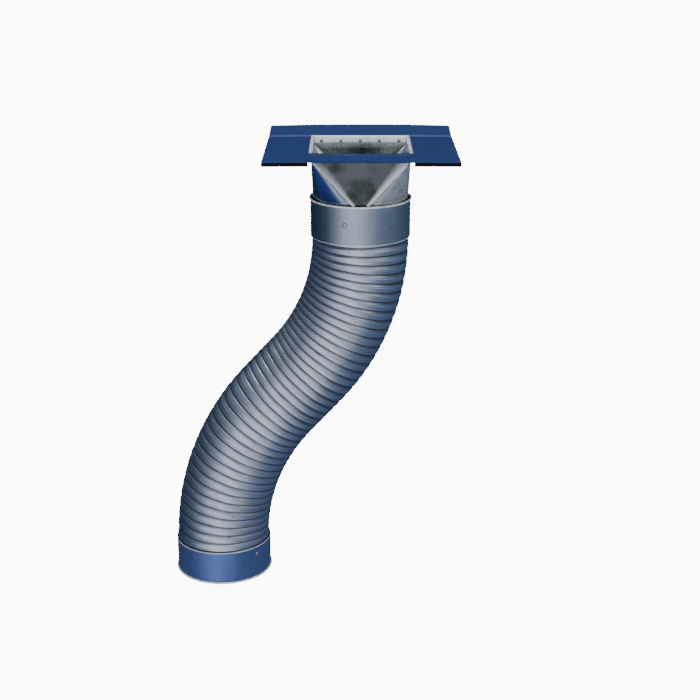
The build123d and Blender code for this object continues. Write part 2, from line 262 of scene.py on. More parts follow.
@dataclass(frozen=True)
class SheetFinish:
    """One metal sheet finish: its colours, gloss, grain and marks, and the colour and strength of its
    painted highlight and shade.
    """

    name: str
    colour: tuple[float, float, float]
    shade: tuple[float, float, float]
    # Colour of the painted highlight, with some wear, on creases, rolls and cut edges.
    highlight_and_wear: tuple[float, float, float] = (0.86, 0.88, 0.92)
    # How much less metallic the painted highlight is, so that it stays bright.
    highlight_and_wear_dull: float = 0.55
    metallic: float = 1.0
    roughness: float = 0.3
    roughness_spread: float = 0.12
    grain_scale: float = 500.0
    grain_stretch: tuple[float, float, float] = (1.0, 1.0, 0.04)
    grain_depth: float = 0.00002
    grain_tone: float = 0.08
    grain_rough: float = 0.06
    marks_scale: float = 16.0
    spot_shade: float = 0.28
    dent_scale: float = 11.0
    dent_depth: float = 0.0
    # How dark the painted shade makes grooves, the plate's lips, the throat's flat sides and the outlet
    # collar's waist.
    groove_shade: float = 0.0
    specular: float = 0.5
    along_surface: bool = False

    @cache
    def material(self) -> Material:
        """Make the node material, once."""
        made = bpy.data.materials.new(f"{self.name}_look")
        made.use_nodes = True
        made.node_tree.nodes.clear()
        tree = Tree(made.node_tree)
        place = tree.node("ShaderNodeTexCoord").outputs["Object"]
        stretch = tree.node("ShaderNodeMapping")
        if self.along_surface:
            tree.feed(stretch.inputs["Vector"], tree.node("ShaderNodeUVMap", uv_map="wrap").outputs["UV"])
        else:
            tree.feed(stretch.inputs["Vector"], place)
        stretch.inputs["Scale"].default_value = self.grain_stretch
        grain = tree.group(Surface.rolled_grain(), Vector=stretch.outputs["Vector"], Scale=self.grain_scale)
        marks = tree.group(Surface.handling_marks(), Vector=place, Scale=self.marks_scale)
        # Masks on the vertices: painted highlight with some wear, and painted shade.
        highlight_and_wear = tree.node("ShaderNodeAttribute", attribute_name="highlight_and_wear").outputs["Fac"]
        painted_shade = tree.node("ShaderNodeAttribute", attribute_name="painted_shade").outputs["Fac"]

        smudge = marks.outputs["Smudge"]
        tone = tree.mix(smudge, (*self.colour, 1.0), (*self.shade, 1.0))
        # Darken by grain lines, random spots and the painted shade mask.
        for mask, at_none, at_full in (
            (grain.outputs["Lines"], 1.0 - self.grain_tone, 1.0 + self.grain_tone),
            (marks.outputs["Spots"], 1.0, 1.0 - self.spot_shade),
            (painted_shade, 1.0, 1.0 - self.groove_shade),
        ):
            shade = tree.grey(tree.remap(mask, 0.0, 1.0, at_none, at_full))
            tone = tree.mix(1.0, tone, shade, "MULTIPLY")
        bright = (*self.highlight_and_wear, 1.0)
        edge = tree.group(Surface.edge_highlight_and_wear(), Vector=place, Mask=highlight_and_wear, Colour=tone, Bright=bright)

        dullest = self.roughness + self.roughness_spread
        rough = tree.remap(smudge, 0.0, 1.0, self.roughness, dullest)
        rough = tree.math("ADD", rough, tree.math("MULTIPLY", grain.outputs["Broad"], self.grain_rough))
        # The painted highlight is made less metallic, so it reads bright whatever it mirrors.
        dulled = tree.math("SUBTRACT", 1.0, tree.math("MULTIPLY", edge.outputs["Mask"], self.highlight_and_wear_dull))
        metal = tree.math("MULTIPLY", dulled, self.metallic)

        bump = tree.node("ShaderNodeBump")
        bump.inputs["Distance"].default_value = 1.0
        height = tree.math("MULTIPLY", grain.outputs["Lines"], self.grain_depth)
        if self.dent_depth:
            dents = tree.noise(place, self.dent_scale, 2.0, 0.4)
            height = tree.math("ADD", height, tree.math("MULTIPLY", dents, self.dent_depth))
        tree.feed(bump.inputs["Height"], height)

        shader = tree.node("ShaderNodeBsdfPrincipled")
        tree.feed(shader.inputs["Base Color"], edge.outputs["Colour"])
        tree.feed(shader.inputs["Roughness"], rough)
        tree.feed(shader.inputs["Metallic"], metal)
        tree.feed(shader.inputs["Normal"], bump.outputs["Normal"])
        shader.inputs["Specular IOR Level"].default_value = self.specular
        tree.feed(tree.node("ShaderNodeOutputMaterial").inputs["Surface"], shader.outputs["BSDF"])
        return made


# Deep blue plate colour.
BLUE_SHEET = SheetFinish(
    "blue_coated_sheet",
    colour=(0.012, 0.033, 0.132),
    shade=(0.010, 0.027, 0.11),
    highlight_and_wear=(0.26, 0.38, 0.66),
    highlight_and_wear_dull=0.0,
    metallic=0.0,
    roughness=0.42,
    roughness_spread=0.08,
    grain_stretch=(0.05, 1.0, 1.0),
    groove_shade=0.97,
    specular=0.12,
)
TINNED_SHEET = SheetFinish(
    "bright_tinned_sheet",
    colour=(0.60, 0.66, 0.65),
    shade=(0.20, 0.26, 0.24),
    highlight_and_wear=(0.98, 0.98, 1.0),
    highlight_and_wear_dull=0.95,
    roughness=0.08,
    roughness_spread=0.1,
    grain_tone=0.03,
    marks_scale=26.0,
    dent_depth=0.003,
    groove_shade=0.8,
)
GREY_SHEET = SheetFinish(
    "grey_galvanised_sheet",
    colour=(0.45, 0.51, 0.56),
    shade=(0.39, 0.45, 0.50),
    highlight_and_wear_dull=0.7,
    roughness=0.2,
    roughness_spread=0.08,
    grain_stretch=(1.0, 1.0, 0.05),
    grain_depth=0.00001,
    grain_tone=0.04,
    dent_depth=0.0009,
)
DUCT_SHEET = SheetFinish(
    "duct_sheet",
    colour=(0.69, 0.725, 0.80),
    shade=(0.55, 0.59, 0.67),
    roughness=0.24,
    roughness_spread=0.1,
    grain_scale=900.0,
    grain_stretch=(0.03, 1.0, 1.0),
    grain_depth=0.00004,
    grain_tone=0.16,
    groove_shade=0.64,
    along_surface=True,
)
BLUE_COLLAR = SheetFinish(
    "blue_steel_collar",
    colour=(0.115, 0.18, 0.42),
    shade=(0.085, 0.145, 0.37),
    highlight_and_wear=(0.80, 0.85, 0.93),
    highlight_and_wear_dull=0.6,
    metallic=0.78,
    roughness=0.24,
    roughness_spread=0.08,
    grain_depth=0.000006,
    grain_tone=0.03,
    dent_depth=0.0006,
    groove_shade=0.8,
    specular=0.3,
)
RIVET_STEEL = SheetFinish(
    "rivet_steel",
    colour=(0.22, 0.26, 0.31),
    shade=(0.12, 0.14, 0.18),
    roughness=0.3,
    marks_scale=120.0,
)


# ------------------------------------------------------------------ mesh helpers
def out_from_axis(face: BMFace) -> float:
    """How far a face looks away from the Z axis."""
    centre = face.calc_center_median()
    return face.normal.x * centre.x + face.normal.y * centre.y


def upwards(face: BMFace) -> float:
    """How far a face looks up."""
    return face.normal.z


def thicken(bm: BMesh, wall: float, outer: Callable[[BMFace], float]) -> None:
    """Turn an open skin the right way out, and give it the sheet's wall on its inner side.

    Args:
        bm: the mesh, an open skin.
        wall: the sheet's thickness in metres.
        outer: how far a face looks the way that the skin's outer side should.
    """
    bmesh.ops.remove_doubles(bm, verts=bm.verts, dist=1e-6)
    bmesh.ops.recalc_face_normals(bm, faces=bm.faces)
    bm.normal_update()
    if sum(outer(face) * face.calc_area() for face in bm.faces) < 0:
        bmesh.ops.reverse_faces(bm, faces=bm.faces)
        bm.normal_update()
    bmesh.ops.solidify(bm, geom=bm.faces[:], thickness=wall)


def close_and_shade(bm: BMesh) -> None:
    """Merge doubles, point a closed mesh's faces outwards and mark its sharp edges."""
    bmesh.ops.remove_doubles(bm, verts=bm.verts, dist=1e-6)
    bmesh.ops.recalc_face_normals(bm, faces=bm.faces)
    bm.normal_update()
    for face in bm.faces:
        face.smooth = True
    for edge in bm.edges:
        edge.smooth = not (edge.is_manifold and edge.calc_face_angle(0.0) > SHARP_ANGLE)


def wrap_uv(bm: BMesh, radius: float) -> None:
    """Give a tube about Z a UV map in metres: U round it and V along it."""
    layer = bm.loops.layers.uv.new("wrap")
    for face in bm.faces:
        turns = [atan2(loop.vert.co.y, loop.vert.co.x) for loop in face.loops]
        crosses = max(turns) - min(turns) > pi
        for loop, turn in zip(face.loops, turns):
            turn += 2 * pi if crosses and turn < 0 else 0
            loop[layer].uv = (turn * radius, loop.vert.co.z)


def add_object(name: str, data: ID) -> Object:
    """Put a new object with the given data into the scene, at the origin."""
    made = bpy.data.objects.new(name, data)
    bpy.context.scene.collection.objects.link(made)
    return made


def to_object(bm: BMesh, name: str, material: Material) -> Object:
    """Turn a mesh, which is freed, into a scene object with one material."""
    mesh = bpy.data.meshes.new(name)
    bm.to_mesh(mesh)
    bm.free()
    mesh.materials.append(material)
    return add_object(name, mesh)


def spin_profile(points: Iterable[tuple[float, float]], steps: int, closed: bool) -> BMesh:
    """Spin a profile about Z.

    Args:
        points: (radius, height) of each profile point, in metres.
        steps: how many facets the full turn has.
        closed: whether the profile's last point joins its first.

    Returns:
        The spun mesh.
    """
    bm = bmesh.new()
    ring = [bm.verts.new((radius, 0.0, height)) for radius, height in points]
    pairs = list(zip(ring, ring[1:])) + ([(ring[-1], ring[0])] if closed else [])
    edges = [bm.edges.new(pair) for pair in pairs]
    bmesh.ops.spin(
        bm, geom=ring + edges, cent=(0, 0, 0), axis=(0, 0, 1), dvec=(0, 0, 0),
        angle=2 * pi, steps=steps, use_merge=True, use_normal_flip=False, use_duplicate=False,
    )
    return bm


def paint(bm: BMesh, name: str, rule: Callable[[Vector], float]) -> None:
    """Write a 0 to 1 mask on every vertex by a rule on its place."""
    layer = bm.verts.layers.float.get(name) or bm.verts.layers.float.new(name)
    for vert in bm.verts:
        vert[layer] = max(0.0, min(1.0, rule(vert.co)))


def add_piece(bm: BMesh, name: str, finish: SheetFinish, body: str, *nodes: str) -> Object:
    """Make a finished piece that rides on one body, and report it.

    Args:
        bm: the piece's mesh, which is freed.
        name: its name.
        finish: its finish, whose material it gets.
        body: the body that it rides on.
        nodes: the CAD nodes that it stands for.

    Returns:
        The piece.
    """
    piece = to_object(bm, name, finish.material())
    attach(piece, body)
    if nodes:
        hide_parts(*nodes)
    LOG.info("%s: %d faces on %s", piece.name, len(piece.data.polygons), body)
    return piece


# ------------------------------------------------------------------ rivets
@dataclass
class BlindRivet:
    """A blind rivet: a domed head with its pulled stem's hole, a shank and a tail."""

    head: float = 3.2 * MM
    rise: float = 1.2 * MM
    shank: float = 1.5 * MM
    stem: float = 0.8 * MM
    tail: float = 2.2 * MM
    tail_height: float = 0.8 * MM
    steps: int = 20

    def profile(self, grip: float) -> list[tuple[float, float]]:
        """The rivet's outline from the stem's hole over the head to the tail."""
        angles = [radians(degrees) for degrees in (24, 42, 60, 76, 88)]
        dome = [(self.head * sin(angle), self.rise * cos(angle) ** 0.8) for angle in angles]
        under = -0.02 * MM
        rim = [(self.head, under), (self.shank, under), (self.shank, -grip)]
        end = -grip - self.tail_height
        foot = [(self.tail, -grip), (self.tail * 0.8, end), (0.0, end)]
        hole = [(0.0, self.rise * 0.35), (self.stem, self.rise * 0.45), (self.stem, self.rise * 0.98)]
        return hole + dome + rim + foot

    def build(self, name: str, body: str, places: Sequence[tuple[Vector, Vector]], grip: float) -> Object:
        """Set one rivet at each place.

        Args:
            name: the group's name, which is also its CAD node's.
            body: the body that they ride on.
            places: the seat of each head and the way that it points.
            grip: the thickness that the rivets hold.

        Returns:
            One object holding all the rivets.
        """
        whole = bmesh.new()
        for seat, outward in places:
            one = spin_profile(self.profile(grip), self.steps, closed=False)
            # Painted highlight, with some wear, on the top of each dome.
            paint(one, "highlight_and_wear", lambda co: 0.5 * (co.z > self.rise * 0.7))
            close_and_shade(one)
            turn = outward.to_track_quat("Z", "Y").to_matrix().to_4x4()
            bmesh.ops.transform(one, matrix=Matrix.Translation(seat) @ turn, verts=one.verts)
            scratch = bpy.data.meshes.new("rivet")
            one.to_mesh(scratch)
            one.free()
            whole.from_mesh(scratch)
            bpy.data.meshes.remove(scratch)
        return add_piece(whole, name, RIVET_STEEL, body, name)


# ------------------------------------------------------------------ flange plate
@dataclass
class FlangePlate:
    """The folded flange: flat front, raised back strip, front lips and turned-down opening edge."""

    sheet: float = 0.8 * MM
    opening_half: float = 60.4 * MM
    fold_y: float = 63.95 * MM
    notch_half: float = 62.85 * MM
    lip: float = 4.3 * MM
    turn_down: float = 9.0 * MM
    lip_bend: float = 1.5 * MM
    half_width: float = 118.25 * MM
    droop: float = 1.7 * MM
    front_droop: float = 0.25
    wave: float = 0.35 * MM
    calm: float = 20 * MM
    spacing: float = 9.0 * MM
    inset: float = 0.05 * MM
    back_inset: float = 0.13 * MM
    rim: float = 0.9 * MM
    crease: float = 0.7 * MM
    margin: float = 0.01 * MM

    def lines(self, stops: Sequence[float]) -> list[float]:
        """Grid lines through the given stops, evenly spaced between them."""
        places = [stops[0]]
        for low, high in zip(stops, stops[1:]):
            count = max(1, round((high - low) / self.spacing))
            places += [low + (high - low) * (i + 1) / count for i in range(count)]
        return places

    def height(self, x: float, y: float, low: Vector, high: Vector) -> float:
        """The top face's height, with the fold, the drooping corners and a slight wave."""
        back = max(0.0, y - self.fold_y)
        rise = (high.z - self.sheet) / (high.y - self.fold_y)
        side = abs(x) / high.x
        share = self.front_droop + (1 - self.front_droop) * back / (high.y - self.fold_y)
        droop = self.droop * side**3 * share
        calm = min(1.0, max(0.0, max(abs(x), abs(y)) - self.opening_half) / self.calm)
        wave = self.wave * calm * noise.noise(Vector((x, y, 0.0)) * 14.0)
        return self.sheet + back * rise - droop + min(wave, 0.0)

    def build(self) -> Object:
        """Make the plate from a grid, and turn its edges down."""
        low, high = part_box("flange_plate")
        right = (self.opening_half, self.notch_half, high.x - self.rim, high.x)
        xs = self.lines((*(-value for value in reversed(right)), *right))
        end = high.y - self.back_inset
        folds = (self.fold_y - self.crease, self.fold_y, self.fold_y + self.crease)
        front = (low.y + self.inset, -self.opening_half, self.opening_half)
        ys = self.lines((*front, *folds, end - self.rim, end))
        bm = bmesh.new()
        bmesh.ops.create_grid(bm, x_segments=len(xs) - 1, y_segments=len(ys) - 1, size=1.0)
        for vert in bm.verts:
            column = round((vert.co.x + 1) / 2 * (len(xs) - 1))
            row = round((vert.co.y + 1) / 2 * (len(ys) - 1))
            vert.co = (xs[column], ys[row], self.height(xs[column], ys[row], low, high))
        inside = self.opening_half - 1 * MM
        centres = {face: face.calc_center_median() for face in bm.faces}
        hole = [face for face, at in centres.items() if max(abs(at.x), abs(at.y)) < inside]
        bmesh.ops.delete(bm, geom=hole, context="FACES")
        self._turn_down_opening(bm)
        self._turn_down_lips(bm, low)
        thicken(bm, self.sheet, upwards)
        close_and_shade(bm)
        self._paint_highlight_and_shade(bm, low, high)
        return add_piece(bm, "flange_plate", BLUE_SHEET, "flange_and_throat", "flange_plate")

    def _turn_down_opening(self, bm: BMesh) -> None:
        """Extrude the opening's edge down round the neck."""
        limit = self.opening_half + self.margin
        edges = [
            e for e in bm.edges
            if e.is_boundary and all(max(abs(v.co.x), abs(v.co.y)) < limit for v in e.verts)
        ]
        for drop in (self.sheet, self.turn_down):
            made = bmesh.ops.extrude_edge_only(bm, edges=edges)["geom"]
            for vert in (v for v in made if isinstance(v, BMVert)):
                vert.co.z = self.sheet - drop
            edges = [e for e in made if isinstance(e, BMEdge)]

    def _turn_down_lips(self, bm: BMesh, low: Vector) -> None:
        """Extrude the front edge of both wings round a small bend and down."""
        y = low.y + self.inset
        wing = self.notch_half - self.margin
        edges = [
            e for e in bm.edges
            if e.is_boundary and all(v.co.y < y + self.margin and abs(v.co.x) > wing for v in e.verts)
        ]
        bend = self.lip_bend
        for vert in {v for e in edges for v in e.verts}:
            vert.co.y += bend
        for angle in (25, 50, 75, 90):
            out = bend * (1 - sin(radians(angle)))
            drop = bend * (1 - cos(radians(angle)))
            edges = self._pull(bm, edges, y + out, drop if angle < 90 else bend)
        self._pull(bm, edges, y, self.lip + self.sheet)

    def _pull(self, bm: BMesh, edges: list, y: float, drop: float) -> list:
        """Extrude edges to a new front distance and drop, and return the new edges."""
        made = bmesh.ops.extrude_edge_only(bm, edges=edges)["geom"]
        for vert in (v for v in made if isinstance(v, BMVert)):
            droop = self.droop * self.front_droop * (abs(vert.co.x) / self.half_width) ** 3
            vert.co.y = y
            vert.co.z = self.sheet - droop - drop
        return [e for e in made if isinstance(e, BMEdge)]

    def _paint_highlight_and_shade(self, bm: BMesh, low: Vector, high: Vector) -> None:
        """Paint a highlight along the fold line, brighten the outer cut edges a little, and paint shade on
        the lips.
        """

        def highlight_and_wear(co: Vector) -> float:
            """Painted highlight, most on the fold of both wings; a little brightening on cut edges."""
            fold = (abs(co.x) > self.opening_half) * (1.3 - abs(co.y - self.fold_y) / (0.6 * MM))
            cut = 0.3 * (min(high.x - abs(co.x), high.y - co.y) < 0.3 * MM)
            return max(fold, cut)

        def lip_shade(co: Vector) -> float:
            """Painted shade: 1 on the outside of the lips."""
            return 1.0 * (co.y < low.y + 0.6 * MM and co.z < self.sheet - 0.5 * MM)

        paint(bm, "highlight_and_wear", highlight_and_wear)
        paint(bm, "painted_shade", lip_shade)


# ------------------------------------------------------------------ throat
@dataclass
class Throat:
    """The square-to-round throat, made as a front and a rear half."""

    sheet: float = 0.8 * MM
    half: float = 60.35 * MM
    round_radius: float = 59.15 * MM
    corner: float = 2.5 * MM
    neck: float = 11.0 * MM
    height: float = 71.0 * MM
    round_end: float = 83.0 * MM
    rim: float = 2.9 * MM
    plate_top: float = 0.8 * MM
    crease_reach: float = 3.0 * MM
    crease_highlight_width: float = 1.7 * MM
    rim_highlight: float = 0.85
    neck_highlight: float = 0.3
    right_gusset_reflection: float = 0.22
    dark_reflection_fade: float = 5 * MM
    rear_dark_reflection: float = 0.75
    ridge: float = 0.55 * MM
    levels: int = 14

    def outline(self, blend: float, grow: float = 0.0, ridge: float = 0.0) -> list[tuple[float, float]]:
        """The throat's section as points, from square at 0 to round at 1."""
        half = self.half + grow
        flat = half - self.corner
        radius = self.round_radius
        reach = self.crease_reach / radius
        flats = [(-1.0, -1.0), (-0.972, -0.8), (-0.7, -0.5), (-0.35, -0.25), (0.0, 0.0)]
        flats += [(-a, -b) for a, b in reversed(flats[:-1])]
        side = []
        for top, bottom in flats:
            turn = bottom * reach
            out = ridge if abs(top) == 1.0 else 0.0
            square = Vector((half, top * flat))
            circle = Vector((radius * cos(turn), radius * sin(turn)))
            point = square.lerp(circle, blend)
            side.append(point + Vector((1.0, 0.35 * (1 if top > 0 else -1))).normalized() * out)
        share = (0.03, 0.12, 0.25, 0.4, 0.5, 0.6, 0.75, 0.88, 0.97)
        for part in share:
            bend = part * pi / 2
            square = Vector((flat + self.corner * cos(bend), flat + self.corner * sin(bend)))
            turn = reach + part * (pi / 2 - 2 * reach)
            circle = Vector((radius * cos(turn), radius * sin(turn)))
            side.append(square.lerp(circle, blend))
        return [tuple(Matrix.Rotation(radians(90 * n), 2) @ p) for n in range(4) for p in side]

    def ring(self, bm: BMesh, points: Sequence[tuple[float, float]], z: float) -> list:
        """Add one section ring as a circle whose vertices take the given places, and return its edges."""
        made = bmesh.ops.create_circle(bm, cap_ends=False, radius=1.0, segments=len(points))["verts"]
        made.sort(key=lambda v: atan2(v.co.y, v.co.x) % (2 * pi))
        first = min(range(len(points)), key=lambda i: atan2(points[i][1], points[i][0]) % (2 * pi))
        for number, vert in enumerate(made):
            x, y = points[(first + number) % len(points)]
            vert.co = (x, y, z)
        return list({e for v in made for e in v.link_edges})

    def shell(self) -> BMesh:
        """Make the whole throat's outer skin from the rim down to the round end."""
        bm = bmesh.new()
        top = self.plate_top
        rings = [
            self.ring(bm, self.outline(0.0, grow=self.rim), top),
            self.ring(bm, self.outline(0.0, grow=0.5 * MM), top),
            self.ring(bm, self.outline(0.0), top - 0.5 * MM),
            self.ring(bm, self.outline(0.0), -self.neck + 1 * MM),
        ]
        for level in range(self.levels + 1):
            blend = level / self.levels
            ridge = self.ridge * min(1.0, 6 * blend, 6 * (1 - blend) + 0.3)
            z = -self.neck - blend * (self.height - self.neck)
            rings.append(self.ring(bm, self.outline(blend, ridge=ridge), z))
        rings.append(self.ring(bm, self.outline(1.0), -self.round_end))
        for upper, lower in zip(rings, rings[1:]):
            bmesh.ops.bridge_loops(bm, edges=upper + lower)
        return bm

    def build_half(self, name: str, side: int) -> Object:
        """Cut one half out of the shell, give it its wall and dress it.

        Args:
            name: the half's name, which is also its CAD node's.
            side: -1 for the front half and +1 for the rear half.

        Returns:
            The half.
        """
        bm = self.shell()
        bmesh.ops.remove_doubles(bm, verts=bm.verts, dist=1e-6)
        geometry = bm.verts[:] + bm.edges[:] + bm.faces[:]
        bmesh.ops.bisect_plane(
            bm, geom=geometry, plane_co=(0, 0, 0), plane_no=(0, side, 0), clear_inner=True, dist=1e-7,
        )
        thicken(bm, self.sheet, out_from_axis)
        close_and_shade(bm)
        paint(bm, "highlight_and_wear", self.highlight_and_wear_mask)
        paint(bm, "painted_shade", self.painted_dark_reflection)
        return add_piece(bm, name, TINNED_SHEET, "flange_and_throat", name)

    def blend_at(self, z: float) -> float:
        """How far the section at a height has gone from square, 0, to round, 1."""
        return (-z - self.neck) / (self.height - self.neck)

    def flat_at(self, blend: float) -> float:
        """Half the width of the flat side between two creases."""
        return (1 - blend) * (self.half - self.corner) + blend * self.crease_reach

    def painted_dark_reflection(self, co: Vector) -> float:
        """Painted shade on the flat sides between the creases, a painted reflection of a dark floor, weaker
        at the rear.
        """
        blend = min(1.0, max(0.0, self.blend_at(co.z)))
        inside = (self.flat_at(blend) - min(abs(co.x), abs(co.y))) / self.dark_reflection_fade
        wall = self.half - (self.half - self.round_radius) * blend
        outside = max(abs(co.x), abs(co.y)) > wall - self.sheet / 2
        side = 1.0 if co.y < 0 else self.rear_dark_reflection
        return outside * (co.z < 0) * min(1.0, max(0.0, inside)) * side

    def highlight_and_wear_mask(self, co: Vector) -> float:
        """Painted highlight along the rim, except on the front face, and along the eight creases; painted
        reflection on the neck, except on the front face, and on the right front gusset.
        """
        front = co.y < 1 * MM - self.half
        # Painted highlight on the rim's bend, except on the front face.
        if co.z > self.plate_top - 0.6 * MM:
            return 0.0 if front else self.rim_highlight
        blend = self.blend_at(co.z)
        # Painted reflection lightening the neck, except on the front face.
        if not 0.0 <= blend <= 1.0:
            return 0.0 if front else self.neck_highlight
        flat = self.flat_at(blend)
        along = min(abs(co.x), abs(co.y))
        # Painted reflection on the right front gusset, and painted highlight along each crease.
        right_reflection = self.right_gusset_reflection * (co.x > 0 > co.y and along > flat)
        return max(right_reflection, 1.0 - abs(along - flat) / self.crease_highlight_width)


@dataclass
class SeamLap:
    """The lap of the throat's front half over its rear half, at the middle of each side."""

    throat: Throat
    sheet: float = 0.8 * MM
    gap: float = 0.05 * MM
    low_y: float = -4.0 * MM
    high_y: float = 8.0 * MM
    top: float = -13.0 * MM
    bottom: float = -60.5 * MM
    taper: float = 0.72
    bevel: float = 0.25 * MM

    def face_x(self, z: float) -> float:
        """How far out the lap's inner face stands at a height."""
        throat = self.throat
        return throat.half + self.gap + throat.blend_at(z) * (throat.round_radius - throat.half)

    def build(self) -> Object:
        """Make the two strips, each a bevelled plate that leans with the side."""
        whole = bmesh.new()
        for side in (-1, 1):
            made = bmesh.ops.create_cube(whole, size=1.0)["verts"]
            for vert in made:
                z = self.top if vert.co.z > 0 else self.bottom
                y = self.high_y if vert.co.y > 0 else self.low_y
                taper = 1.0 if vert.co.z > 0 else self.taper
                out = self.face_x(z) + (self.sheet if vert.co.x > 0 else 0.0)
                vert.co = (side * out, y * taper, z)
            edges = list({e for v in made for e in v.link_edges})
            bmesh.ops.bevel(
                whole, geom=edges, offset=self.bevel, segments=2, profile=0.5, affect="EDGES", material=-1,
            )
        bmesh.ops.recalc_face_normals(whole, faces=whole.faces)
        for face in whole.faces:
            face.smooth = False
        return add_piece(whole, "throat_seam_laps", TINNED_SHEET, "flange_and_throat")


# ------------------------------------------------------------------ collars, band and sleeve
class BeadEnd(Enum):
    """Which end of a collar has its edge rolled outwards."""

    TOP = 1
    BOTTOM = -1


@dataclass
class Collar:
    """A plain round collar with one rolled edge and a lapped seam at the back."""

    name: str
    body: str
    finish: SheetFinish
    bead_end: BeadEnd
    outer: float = 63.5 * MM
    sheet: float = 0.8 * MM
    bead: float = 1.25 * MM
    stand: float = 0.3 * MM
    steps: int = 128
    lap_step: float = 0.35 * MM
    lap_span: float = radians(11)
    dent: float = 0.16 * MM
    dent_scale: float = 22.0
    waist: float = 0.12 * MM
    round_off: float = 0.25 * MM

    def profile(self, length: float) -> list[tuple[float, float]]:
        """The collar's closed section, from its plain edge at 0 to its bead."""
        outer = self.outer
        inner = outer - self.sheet
        centre = length - self.bead
        angles = [radians(degrees) for degrees in range(180, -109, -18)]
        middle = outer + self.stand
        roll = [(middle + self.bead * cos(a), centre + self.bead * sin(a)) for a in angles]
        waist = [(outer - self.waist, centre - 1.9 * MM), (outer, centre - 3.2 * MM)]
        rows = [length * share for share in (0.82, 0.66, 0.5, 0.34, 0.18)] + [1.3 * MM]
        cut = self.round_off
        edge = [(outer, cut), (outer - cut, 0.0), (inner + cut, 0.0), (inner, cut)]
        outside = [(outer, height) for height in rows]
        inside = [(inner, height) for height in reversed(rows)]
        return roll + waist + outside + edge + inside

    def build(self) -> Object:
        """Spin the collar, roll its lap and dents in, and dress it."""
        low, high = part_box(self.name)
        length = high.z - low.z
        centre = Vector(((low.x + high.x) / 2, 0.0, 0.0))
        bm = spin_profile(self.profile(length), self.steps, closed=True)
        close_and_shade(bm)
        paint(bm, "highlight_and_wear", lambda co: self.highlight_and_wear_mask(co, length))
        if self.bead_end is BeadEnd.BOTTOM:
            # Painted shade: a dark line in the waist just above the outlet collar's bead.
            paint(bm, "painted_shade", lambda co: 1.0 * (0.0 < length - 2 * self.bead - co.z < 1.5 * MM))
        for vert in bm.verts:
            self._shape(vert, length)
        wrap_uv(bm, self.outer)
        if self.bead_end is BeadEnd.BOTTOM:
            over = Matrix.Rotation(pi, 3, "X")
            bmesh.ops.rotate(bm, verts=bm.verts, cent=(0, 0, 0), matrix=over)
            bmesh.ops.translate(bm, verts=bm.verts, vec=centre + Vector((0, 0, high.z)))
        else:
            bmesh.ops.translate(bm, verts=bm.verts, vec=centre + Vector((0, 0, low.z)))
        return add_piece(bm, self.name, self.finish, self.body, self.name)

    def highlight_and_wear_mask(self, co: Vector, length: float) -> float:
        """Painted highlight on the rolled bead; the plain edge brightened too."""
        highlight_and_wear = co.z > length - 2.3 * self.bead or co.z < 0.3 * MM
        return 0.9 * highlight_and_wear * (hypot(co.x, co.y) > self.outer - 0.5 * MM)

    def _shape(self, vert: BMVert, length: float) -> None:
        """Raise the lap at the back, and press very slight dents into the wall."""
        behind = pi / 2 if self.bead_end is BeadEnd.TOP else -pi / 2
        gap = atan2(vert.co.y, vert.co.x) - behind
        calm = min(1.0, max(0.0, (length - 4 * MM - vert.co.z) / (8 * MM)))
        radius = hypot(vert.co.x, vert.co.y)
        on_lap = radius > self.outer - 0.3 * MM and 0 < gap < self.lap_span
        push = self.lap_step * calm * on_lap
        push -= self.dent * calm * (0.5 + 0.5 * noise.noise(vert.co * self.dent_scale))
        vert.co.x *= (radius + push) / radius
        vert.co.y *= (radius + push) / radius


@dataclass
class BackingRing:
    """A plain round band of sheet behind the duct's wall."""

    name: str
    body: str
    sheet: float = 0.8 * MM
    round_off: float = 0.3 * MM
    steps: int = 96

    def build(self) -> Object:
        """Spin the band's rounded section and dress it."""
        low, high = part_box(self.name)
        outer = (high.y - low.y) / 2
        inner = outer - self.sheet
        cut = self.round_off
        length = high.z - low.z
        section = [
            (outer, cut), (outer, length - cut), (outer - cut, length), (inner + cut, length),
            (inner, length - cut), (inner, cut), (inner + cut, 0.0), (outer - cut, 0.0),
        ]
        bm = spin_profile(section, self.steps, closed=True)
        close_and_shade(bm)
        wrap_uv(bm, outer)
        bmesh.ops.translate(bm, verts=bm.verts, vec=((low.x + high.x) / 2, 0.0, low.z))
        return add_piece(bm, self.name, GREY_SHEET, self.body, self.name)


# ------------------------------------------------------------------ corrugated duct
@dataclass
class Run:
    """One stretch of the duct's centre line: straight, or an arc in the XZ plane."""

    start: Vector
    along: Vector
    length: float
    turn: float = 0.0

    def place(self, radius: float, angle: float, distance: float) -> Vector:
        """Where a point of the straight tube goes on this stretch.

        Args:
            radius: its distance from the centre line.
            angle: its angle about the centre line, 0 in the bend's plane.
            distance: how far along the stretch it is, which may run past either end.

        Returns:
            Its place in the frame.
        """
        across = Vector((-self.along.z, 0.0, self.along.x))
        bent = min(max(distance, 0.0), self.length)
        over = distance - bent
        if self.turn:
            heading = self.turn * bent / self.length
            bend = self.length / self.turn
            centre = self.start + self.along * (bend * sin(heading)) - across * (bend * (1 - cos(heading)))
            spin = Matrix.Rotation(heading, 3, "Y")
            across = spin @ across
            forward = spin @ self.along
        else:
            centre = self.start + self.along * bent
            forward = self.along
        centre = centre + forward * over
        return centre + across * (radius * cos(angle)) + Vector((0.0, radius * sin(angle), 0.0))


